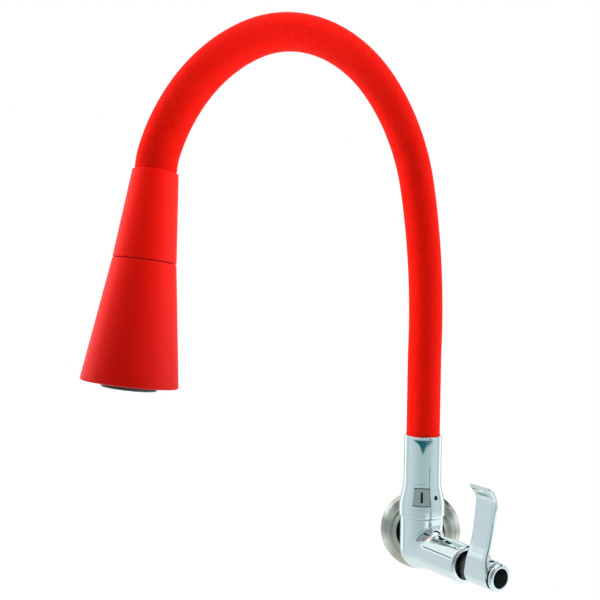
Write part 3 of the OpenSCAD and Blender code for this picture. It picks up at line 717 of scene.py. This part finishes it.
# Side outline of the paddle in the arm frame, [towards the wall side, up]
LEVER_FRONT = [[-9.2, 0], [-8.9, 4], [-7.8, 9], [-6, 14], [-4.3, 19], [-2.9, 25], [-1.5, 33],
               [-0.4, 40], [0.1, 44.5], [-0.7, 47.8], [-2.9, 51], [-5.6, 53.6]]
LEVER_BACK = [[6.5, 0], [5.2, 4.5], [3.2, 7.2], [0.9, 8.7], [-1.2, 10.4], [-2.3, 12.4],
              [-2.3, 15], [-1, 21.5], [0.6, 28.5], [1.8, 35], [2.5, 40.5], [2.5, 45], [1.4, 49],
              [-0.2, 52], [-2.4, 54.6], [-5.9, 56.1]]
# Half width of the paddle against height
LEVER_HALF = [[8.75, 0], [8.7, 6], [8.33, 13], [8.33, 22], [8.49, 32], [8.75, 41], [8.75, 57]]
PADDLE_MID = HUB_AT + 8.85


def lever_half(y):
    """Half width of the paddle at a height above the arm axis."""
    for (w0, y0), (w1, y1) in zip(LEVER_HALF, LEVER_HALF[1:]):
        if y <= y1:
            return w0 + (w1 - w0) * ease((y - y0) / (y1 - y0)) if y > y0 else w0
    return LEVER_HALF[-1][0]


def paddle_section(front, back, half, dish):
    """Rounded cross-section of the paddle between a front and a back point. Its front is sunk by
    dish, inside a rim that is a share of its half width."""
    across = back - front
    thick = across.length
    side = across.normalized()
    edge_r = min(1.1, thick * 0.45)
    flat, rim_from, rim_soft = 30, 0.93, 0.14
    ring = []

    def at(u, w):
        p = front + side * u
        ring.append((p.x, p.y, PADDLE_MID + w))

    def corner(u, w, start):
        for k in range(1, 6):
            a = math.radians(start + 90 * k / 6)
            at(u + edge_r * math.sin(a), w + edge_r * math.cos(a))

    for k in range(flat + 1):
        v = -1 + 2 * k / flat
        at(dish * ease((rim_from - abs(v)) / rim_soft), v * (half - edge_r))
    corner(edge_r, half - edge_r, -90)
    at(edge_r, half)
    corner(thick - edge_r, half - edge_r, 0)
    for k in range(flat + 1):
        at(thick, (1 - 2 * k / flat) * (half - edge_r))
    corner(thick - edge_r, -half + edge_r, 90)
    at(thick - edge_r, -half)
    corner(edge_r, -half + edge_r, 180)
    return ring


def make_lever():
    """Chromed lever: a short hub with an upright paddle whose tip curls forward."""
    shape = Shape()
    shape.lathe(rounded([(3.6, HUB_AT), (HUB_R, HUB_AT, 0.7), (HUB_R, HUB_END, 0.5),
                         (PLUG_R + 0.05, HUB_END, 0.2), (PLUG_R + 0.05, HUB_END - SOCKET_DEEP),
                         (3.6, HUB_END - SOCKET_DEEP)]), 176)
    steps, tip_r, recess, recess_low, recess_top, recess_soft = 110, 1.2, 0.2, 4.3, 46, 1.5
    flare, flare_reach = 2.2, 5.5
    fronts = resampled(spline(LEVER_FRONT, 8), steps)
    backs = resampled(spline(LEVER_BACK, 8), steps)
    rows = []
    length = sum((b - a).length for a, b in zip(fronts, fronts[1:]))
    for i, (front, back) in enumerate(zip(fronts, backs)):
        mid = (front + back) / 2
        to_tip = length * (1 - i / steps)
        half = lever_half(mid.y)
        if to_tip < tip_r:
            half -= tip_r - math.sqrt(tip_r ** 2 - (tip_r - to_tip) ** 2)
        dish = (recess * ease((mid.y - recess_low) / recess_soft)
                * ease((recess_top - mid.y) / recess_soft))
        ring = paddle_section(front, back, half, dish)
        # the outer edge flares where it runs into the hub
        flared = []
        for x, y, z in ring:
            gap = math.hypot(x, y) - HUB_R
            if z > PADDLE_MID and y > 0:
                near = max(0, 1 - max(gap, 0) / flare_reach) ** 2.4
                z += (z - PADDLE_MID) / half * flare * near
            flared.append((x, y, z))
        rows.append(shape.row(flared))
    shape.join(rows, capped=True)
    piece = shape.piece("lever_handle", ARM, CHROME, 40)
    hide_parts("lever")
    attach(piece, "handle")


def make_cap():
    """Chrome ring on a black plug."""
    seat, step = INDEX_R + 0.02, PLUG_R - 0.55
    shape = Shape()
    shape.lathe(rounded([(seat, INDEX_SEAT), (step, INDEX_SEAT), (step, CAP_AT),
                         (CAP_R, CAP_AT, 0.35), (CAP_R, CAP_END, 2.0), (seat, CAP_END, 0.3)],
                        8), 160)
    low, neck = HUB_END - 4, PLUG_R - 0.5
    shape.lathe(rounded([(0, low + 2.5), (PLUG_R - 1.2, low + 2.5), (PLUG_R - 1.2, low),
                         (PLUG_R, low), (PLUG_R, HUB_END - 0.4), (neck, HUB_END),
                         (neck, CAP_AT + 0.1), (neck - 0.1, INDEX_SEAT), (0, INDEX_SEAT)]), 160,
                paint=1)
    piece = shape.piece("cap_ring", ARM, [CHROME, BLACK], 40)
    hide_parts("handle_cap")
    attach(piece, "handle")


def make_index():
    """Plain black disc with a low dome, in the cap's ring."""
    spread, rise = 0.5, 0.5
    crown = [(INDEX_R * math.sin(a) / math.sin(spread),
              CAP_END - 0.25 + rise * (math.cos(a) - math.cos(spread)) / (1 - math.cos(spread)))
             for a in (spread * (1 - i / 10) for i in range(11))]
    shape = Shape()
    shape.lathe([(0, INDEX_SEAT), (INDEX_R, INDEX_SEAT)] + crown, 128)
    piece = shape.piece("index_button", ARM, GLOSS_BLACK, 50)
    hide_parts("index_disc")
    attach(piece, "handle")


# ---------- flexible spout ----------

# How far before and after a joint, over a bend of the spout and at the head, make_spout finds
# points on the centre line; nothing uses them further
BEND_REACH, TILT_REACH = (30, 30), (16, 6)


def skin_piece(name, s0, s1):
    """Silicone tube along the centre line between two distances, with its real wall."""
    shape = Shape()
    segments, row_gap, end_gap = 96, 1.8, 0.4
    count = max(2, round((s1 - s0) / row_gap))
    even = [s0 + (s1 - s0) * i / count for i in range(count + 1)]
    stops = sorted(even + [s0 + end_gap, s1 - end_gap])
    outer, inner = [], []
    for s in stops:
        frame = on_line(s)
        for rows, r in ((outer, SKIN_R), (inner, SKIN_IN_R)):
            rows.append(shape.row([frame @ p for p in circle(r, 0, segments)]))
    shape.join(outer)
    shape.join(inner)
    shape.strip(outer[0], inner[0])
    shape.strip(outer[-1], inner[-1])
    return shape.piece(name, Matrix.Identity(4), SILICONE, 50)


def make_spout():
    """The skin in five pieces, each shaped round the bend at one joint and meeting the next in mid
    section.
    """
    bodies = ["spout_base", "neck_2", "neck_3", "neck_4", "neck_5", "head"]
    bends = len(bodies) - 1
    joints = [start_of(k) + SPOUT[k][0] / 2 for k in range(1, len(SPOUT), 2)]
    meets = [start_of(k) + SPOUT[k][0] / 2 for k in range(2, len(SPOUT) - 1, 2)]
    cuts = [SKIN_FROM] + meets + [start_of(len(SPOUT) - 1) + HEAD_ON_LAST + SKIN_IN_HEAD]
    for k in range(bends):
        piece = skin_piece(f"spout_skin_{k + 1}", cuts[k], cuts[k + 1])
        before, after = BEND_REACH if k < bends - 1 else TILT_REACH
        start = on_line(joints[k] - before).translation * MM
        end = on_line(joints[k] + after).translation * MM
        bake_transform(piece)
        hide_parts(f"neck_skin_{k + 1}", f"neck_flex_{k + 1}")
        if k == bends - 1:
            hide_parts(f"neck_skin_{k + 2}")


# ---------- spray head ----------

def bell_r(w):
    """Outer radius of the bell at a distance down the head."""
    return SEAM_R + (MOUTH_R - SEAM_R) * (w - SEAM_AT) / (HEAD_LEN - SEAM_AT)


def make_collar():
    """Red collar of the head, with a web for the core inside."""
    slope = (SEAM_R - COLLAR_TOP_R) / SEAM_AT
    web_at, web_end, web_hole = 36, 40, 11.25
    wall = COLLAR_TOP_R + slope * web_at - 2
    shape = Shape()
    shape.lathe(rounded([
        (SKIN_R + 0.15, 0), (COLLAR_TOP_R, 0, 0.35), (SEAM_R, SEAM_AT - 0.1, 0.5),
        (SEAM_R - 2, SEAM_AT - 0.1), (wall + 0.4, web_end), (web_hole, web_end),
        (web_hole, web_at), (wall, web_at), (SKIN_R + 0.3, 3)]), 192)
    piece = shape.piece("collar_shell", HEAD, RED, 40)
    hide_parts("head_collar")
    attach(piece, "head")


def make_bell():
    """Red bell below the collar, with a thin dark seam between them."""
    top = SEAM_AT + 0.3
    shape = Shape()
    shape.lathe(rounded([
        (bell_r(top) - BELL_WALL, top), (SEAM_R, top, 0.5), (MOUTH_R, HEAD_LEN, 1.1),
        (MOUTH_R - BELL_WALL, HEAD_LEN, 0.6), (bell_r(PLATE_AT) - BELL_WALL, PLATE_AT),
        (bell_r(top + 3) - BELL_WALL, top + 3)]), 192)
    piece = shape.piece("bell_shell", HEAD, RED, 40)
    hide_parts("spray_bell")
    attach(piece, "bell")


def make_spray_face():
    """Black face: a sunk outer band and a raised middle, each with soft nozzles."""
    rim = bell_r(PLATE_AT) - BELL_WALL - 0.1
    band = HEAD_LEN - BAND_SUNK
    shape = Shape()
    shape.lathe(rounded([
        (JET_R + 0.05, PLATE_AT), (rim, PLATE_AT), (rim, band, 0.3), (BOSS_R + 0.4, band, 0.4),
        (BOSS_R, FACE_AT, 1.2), (JET_R + 1.4, FACE_AT, 0.2), (JET_R + 0.9, FACE_AT - 0.5, 0.2),
        (JET_R + 0.05, FACE_AT - 0.5)]), 192)
    # how many nozzles in a ring, its radius, the level they stand on and how tall they are
    for count, ring_r, level, tall in ((20, 19.2, band, 0.95), (14, 11.8, FACE_AT, 0.2)):
        for i in range(count):
            a = math.tau * i / count
            spot = Matrix.Translation((ring_r * math.cos(a), ring_r * math.sin(a), level))
            shape.lathe([(0, -0.2), (1.15, -0.2), (1.1, 0.05), (0.85, tall - 0.1), (0.75, tall),
                         (0.42, tall), (0.38, 0.1), (0, 0.1)], 20, paint=1, frame=spot)
    piece = shape.piece("spray_face", HEAD, [BLACK, RUBBER], 34)
    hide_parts("nozzle_plate")
    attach(piece, "bell")


def make_aerator():
    """Black ring of the aerator, with fine teeth inside its mouth."""
    floor, teeth = FACE_AT - 9, 12
    shape = Shape()
    shape.lathe(rounded([(JET_R - 2.6, floor), (JET_R, floor), (JET_R, FACE_AT + 0.4, 0.3),
                         (JET_R - 1.3, FACE_AT + 0.4, 0.3), (JET_R - 1.3, floor + 2),
                         (JET_R - 2.6, floor + 2)]), 128)
    for i in range(teeth):
        tooth = (Matrix.Rotation(math.tau * i / teeth, 4, "Z")
                 @ Matrix.Translation((JET_R - 1.25, 0, FACE_AT - 1)))
        shape.lathe([(0, -1.2), (0.35, -1.2), (0.35, 0.9), (0.2, 1.1), (0, 1.1)], 12, frame=tooth)
    piece = shape.piece("aerator_ring", HEAD, BLACK, 34)
    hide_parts("aerator_housing")
    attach(piece, "bell")


# Radius of the aerator's screens and pitch of their mesh
SCREEN_R, MESH = 7.0, 0.7


def screen_wire(shape, level, k, turned):
    """Wire k from the middle of a woven screen, along X or, turned, along Y. It passes over and
    under those across it. A wire shorter than a mesh is left out."""
    wire_r, sides, rise = 0.13, 5, 0.14
    offset = k * MESH
    half = math.sqrt(max(0, SCREEN_R ** 2 - offset ** 2))
    if half < MESH:
        return
    steps = max(4, int(half * 2 / MESH * 4))
    rows = []
    for j in range(steps + 1):
        along = -half + 2 * half * j / steps
        lift = rise * math.cos(math.pi * along / MESH) * (-1) ** (k + turned)
        ring = []
        for a in (math.tau * i / sides for i in range(sides)):
            x, y, z = along, offset + wire_r * math.cos(a), level + lift + wire_r * math.sin(a)
            ring.append((y, x, z) if turned else (x, y, z))
        rows.append(shape.row(ring))
    shape.join(rows, capped=True)


def make_screens():
    """The aerator's two woven wire screens."""
    shape, count = Shape(), int(SCREEN_R / MESH)
    for level in (FACE_AT - 2.0, FACE_AT - 4.2):
        for turned in (0, 1):
            for k in range(-count, count + 1):
                screen_wire(shape, level, k, turned)
    piece = shape.piece("aerator_mesh", HEAD, SMALL_STEEL, 60)
    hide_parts("aerator_screens")
    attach(piece, "bell")


make_rosette()
make_valve()
make_sleeve()
make_lever()
make_cap()
make_index()
make_spout()
make_collar()
make_bell()
make_spray_face()
make_aerator()
make_screens()


# ---------- finishes of the CAD parts that stay ----------

FINISH = {
    "chrome_plate": CHROME, "brushed_steel": STEEL, "brass": BRASS, "dark_brass": DARK_BRASS,
    "black_rubber": RUBBER, "ceramic_disc": CERAMIC, "small_steel": SMALL_STEEL,
    "dark_steel": DARK_STEEL, "black_plastic": BLACK, "white_plastic": WHITE,
    "water_tube": WATER_TUBE, "red_silicone": SILICONE, "gooseneck_steel": CORE_STEEL,
    "red_plastic": RED,
}
for row in frame["record"]["subparts"]:
    for material_slot in frame["nodes"][row["node"]].material_slots:
        material_slot.material = FINISH[row["material_slot"]]


# ---------- studio ----------

class World:
    """Node arithmetic for the studio's world, and the colour of its tent as painted so far.
    Directions are in degrees: azimuth to the right of the camera's side, aside the same without
    its sign, and elevation above the horizon."""

    def __init__(self, color):
        world = bpy.data.worlds.new("studio")
        bpy.context.scene.world = world
        world.use_nodes = True
        self.tree = world.node_tree
        self.tree.nodes.clear()
        split = self.tree.nodes.new("ShaderNodeSeparateXYZ")
        ray = self.tree.nodes.new("ShaderNodeTexCoord").outputs["Generated"]
        self.put(split.inputs[0], ray)
        x, y, z = split.outputs
        around = self.math("ARCTAN2", x, self.math("MULTIPLY", y, -1.0))
        self.azimuth = self.math("DEGREES", around)
        self.elevation = self.math("DEGREES", self.math("ARCSINE", z))
        self.aside = self.math("ABSOLUTE", self.azimuth)
        self.color = color

    def put(self, socket, value):
        """Number or colour on an input, or a link into it."""
        if isinstance(value, (int, float)):
            socket.default_value = value
        elif isinstance(value, tuple):
            socket.default_value = (*value, 1)
        else:
            self.tree.links.new(value, socket)

    def math(self, operation, a, b=0.0):
        """Result of a math node."""
        made = self.tree.nodes.new("ShaderNodeMath")
        made.operation = operation
        self.put(made.inputs[0], a)
        self.put(made.inputs[1], b)
        return made.outputs[0]

    def both(self, a, b):
        """Overlap of two masks, or a share of one."""
        return self.math("MULTIPLY", a, b)

    def step(self, value, low, high):
        """Smooth step of a value from low to high."""
        made = self.tree.nodes.new("ShaderNodeMapRange")
        made.interpolation_type = "SMOOTHSTEP"
        self.put(made.inputs["Value"], value)
        self.put(made.inputs["From Min"], low)
        self.put(made.inputs["From Max"], high)
        return made.outputs["Result"]

    def mix(self, factor, a, b):
        """Colour between a and b."""
        made = self.tree.nodes.new("ShaderNodeMix")
        made.data_type = "RGBA"
        self.put(made.inputs[0], factor)
        self.put(made.inputs[6], a)
        self.put(made.inputs[7], b)
        return made.outputs[2]

    def window(self, value, low, high, soft):
        """1 between two values, with soft edges."""
        return self.both(self.step(value, low - soft, low + soft),
                         self.math("SUBTRACT", 1.0, self.step(value, high - soft, high + soft)))

    def paint(self, mask, color):
        """Lays a colour over the tent as far as a mask says."""
        self.color = self.mix(mask, self.color, color)


def paint_tent(w):
    """White tent, greyer towards the camera and high behind, bright above, with a pale floor."""
    w.paint(w.step(w.aside, 0, 95), (0.66, 0.76, 0.79))
    w.paint(w.step(w.aside, 142, 166), (1.0, 1.0, 1.0))
    w.paint(w.both(w.step(w.aside, 55, 80), w.step(w.elevation, 9, 14)), (0.92, 1.02, 1.03))
    w.paint(w.step(w.elevation, 44, 56), (1.15, 1.2, 1.2))
    high_behind = w.both(w.step(w.aside, 134, 146), w.window(w.elevation, 24, 60, 3))
    w.paint(high_behind, (0.50, 0.66, 0.68))
    w.paint(w.step(w.elevation, -24, -50), (0.86, 0.93, 0.92))


def paint_seam(w):
    """Narrow dark seam half way round, which draws the line along the valve arm."""
    seam = w.both(w.window(w.aside, 85, 98.7, 0.6), w.window(w.elevation, 18.8, 22.6, 0.5))
    w.paint(seam, (0.01, 0.015, 0.015))


def paint_strips(w):
    """Low behind, a bright strip between two darker ones; low on the right, a bright floor."""
    low = w.window(w.elevation, -21, 7, 2)
    w.paint(w.both(low, w.window(w.aside, 99, 111, 2)), (0.52, 0.66, 0.70))
    w.paint(w.both(low, w.window(w.aside, 124, 142, 2)), (1.25, 1.3, 1.3))
    w.paint(w.both(low, w.step(w.aside, 143, 147)), (0.50, 0.60, 0.62))
    low_right = w.both(w.step(w.azimuth, 8, 34), w.step(w.elevation, -15.1, -16.0))
    w.paint(low_right, (0.98, 1.06, 1.08))


def paint_stand(w):
    """Dark stand, which draws the line down the sleeve and column, thicker at its foot."""
    parts = w.math("ADD", w.window(w.elevation, -24, -12.7, 0.2),
                   w.window(w.elevation, -10.8, 30, 0.1))
    w.paint(w.both(parts, w.window(w.azimuth, 41.5, 47.5, 0.8)), (0.01, 0.02, 0.03))
    foot = w.both(w.window(w.azimuth, 38, 53, 1.5), w.window(w.elevation, -16.5, -15.6, 0.15))
    w.paint(foot, (0.01, 0.05, 0.09))


def paint_panel(w):
    """Grey panel in front, with a dark rim along its foot and a black bar."""
    width = w.window(w.azimuth, -50, 42, 0.8)
    panel = w.both(width, w.window(w.elevation, -1, 75, 0.6))
    w.paint(w.both(panel, 0.75), (0.22, 0.27, 0.26))
    rim = w.both(width, w.window(w.elevation, -1.5, 1.0, 0.5))
    w.paint(rim, (0.06, 0.08, 0.08))
    bar = w.both(w.window(w.azimuth, -8, 4, 0.8), w.window(w.elevation, 8, 62, 0.8))
    w.paint(bar, (0.004, 0.006, 0.006))


def paint_funnel(w):
    """Teal funnel low in front: from its tip up it widens, and faster from its cup up."""
    tip, cup, stem_spread, cup_spread = -12.0, -11.55, 48.0, 62.0
    stem = w.math("MULTIPLY", w.math("SUBTRACT", w.elevation, tip), stem_spread)
    in_cup = w.math("MAXIMUM", w.math("SUBTRACT", w.elevation, cup), 0.0)
    half = w.math("ADD", stem, w.math("MULTIPLY", in_cup, cup_spread))
    inside = w.step(w.math("SUBTRACT", half, w.aside), -2.0, 2.0)
    w.paint(w.both(inside, w.step(w.elevation, -11.04, -11.12)), (0.0, 0.11, 0.14))


def paint_flag(w):
    """Dark flag high on the right, seen where the arm leaves the column."""
    flag = w.both(w.window(w.azimuth, 60, 145, 3), w.window(w.elevation, 28, 45.5, 1.5))
    w.paint(flag, (0.01, 0.02, 0.02))


def make_world():
    """Tent with a few studio shapes for the chrome, each painted over the ones before it."""
    w = World((0.43, 0.56, 0.57))
    for paint in (paint_tent, paint_seam, paint_strips, paint_stand, paint_panel, paint_funnel,
                  paint_flag):
        paint(w)
    # camera rays see plain white, glossy rays the tent, and diffuse rays a softer version of it
    soft = w.mix(w.step(w.aside, 20, 88), (0.09, 0.09, 0.10), (1.06, 1.06, 1.06))
    soft = w.mix(w.step(w.elevation, 20, 60), soft, (1.1, 1.1, 1.1))
    path = w.tree.nodes.new("ShaderNodeLightPath")
    color = w.mix(path.outputs["Is Diffuse Ray"], w.color, soft)
    color = w.mix(path.outputs["Is Camera Ray"], color, (1.0, 1.0, 1.0))
    background = w.tree.nodes.new("ShaderNodeBackground")
    w.put(background.inputs["Color"], color)
    w.put(w.tree.nodes.new("ShaderNodeOutputWorld").inputs["Surface"], background.outputs[0])


def floor_paper():
    """Pale paper, which shows the camera an even white."""
    whiteness = 0.92
    look = Look("floor_paper", (0.8, 0.8, 0.8), 0.0, 0.9)
    share = look.node("ShaderNodeMath", operation="MULTIPLY")
    share.inputs[1].default_value = whiteness
    look.join(look.node("ShaderNodeLightPath").outputs["Is Camera Ray"], share.inputs[0])
    mix = look.node("ShaderNodeMixShader")
    look.join(share.outputs[0], mix.inputs[0])
    look.join(look.shader.outputs[0], mix.inputs[1])
    look.join(look.node("ShaderNodeEmission").outputs[0], mix.inputs[2])
    look.join(mix.outputs[0], look.tree.nodes["Material Output"].inputs["Surface"])
    return look.mat


def make_floor():
    """Square floor far below, which polished metal doesn't reflect; in metres."""
    mesh = bpy.data.meshes.new("floor")
    reach, level = 1.1, -0.42
    mesh.from_pydata([(-reach, -reach, level), (reach, -reach, level), (reach, reach, level),
                      (-reach, reach, level)], [], [(0, 1, 2, 3)])
    mesh.materials.append(floor_paper())
    floor = bpy.data.objects.new("floor", mesh)
    bpy.context.scene.collection.objects.link(floor)
    floor.visible_glossy = False


def make_lamp(name, place, size, power):
    """Soft square lamp aimed at the middle of the tap, in metres and watts."""
    middle = Vector((-0.06, -0.1, 0.2))
    data = bpy.data.lights.new(name, "AREA")
    data.size, data.energy = size, power
    lamp = bpy.data.objects.new(name, data)
    lamp.location = place
    lamp.rotation_euler = (middle - Vector(place)).to_track_quat("-Z", "Y").to_euler()
    lamp.visible_glossy = False
    bpy.context.scene.collection.objects.link(lamp)


make_world()
make_floor()
make_lamp("left_softbox", (-1.3, 0.1, 0.45), 0.9, 18.5)
make_lamp("right_softbox", (1.3, 0.1, 0.45), 0.9, 13)
make_lamp("top_softbox", (-0.06, -0.1, 1.6), 0.8, 12)
bpy.context.scene.view_settings.view_transform = "Standard"
